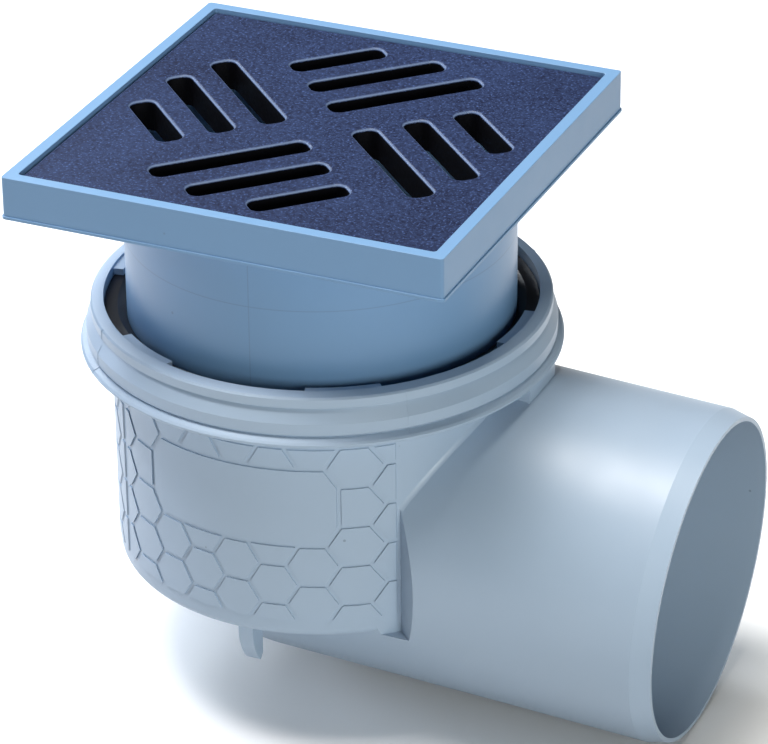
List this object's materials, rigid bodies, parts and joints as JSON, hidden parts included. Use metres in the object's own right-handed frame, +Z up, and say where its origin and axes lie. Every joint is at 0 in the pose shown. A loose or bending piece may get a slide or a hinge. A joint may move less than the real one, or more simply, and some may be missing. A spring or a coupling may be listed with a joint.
{
  "type": "gully trap",
  "caption": "Floor gully trap: round chamber with a side spigot, a square slotted grate on a neck that slides and turns in a lip seal, and a bell water trap inside.",
  "frame": {"origin": "where the chamber's upright axis crosses the outlet's axis", "axes": "+Z up along the chamber's axis, +X towards the outlet, Y across it"},
  "size_m": [0.2152, 0.156, 0.1911],
  "materials": {
    "body_plastic": "satin moulded grey polypropylene",
    "top_plastic": "satin moulded pale blue-grey plastic",
    "coated_iron": "fine-grained dark blue-black coating",
    "seal_rubber": "smooth black rubber",
    "trap_plastic": "satin grey polypropylene"
  },
  "bodies": {
    "gully": {"gully_body": "body_plastic", "overflow_pipe": "trap_plastic", "overflow_seal": "seal_rubber", "trap_bell": "trap_plastic"},
    "seal": {"lip_seal": "seal_rubber"},
    "top": {"upper_section": "top_plastic", "grate": "coated_iron"}
  },
  "joints": [
    {"name": "top_turn", "type": "hinge", "parent": "gully", "child": "seal", "pos_m": [0, 0, 0.063], "axis": [0, 0, 1], "continuous": true},
    {"name": "top_height", "type": "slide", "parent": "seal", "child": "top", "axis": [0, 0, 1], "range_m": [-0.0436, 0.012]}
  ]
}
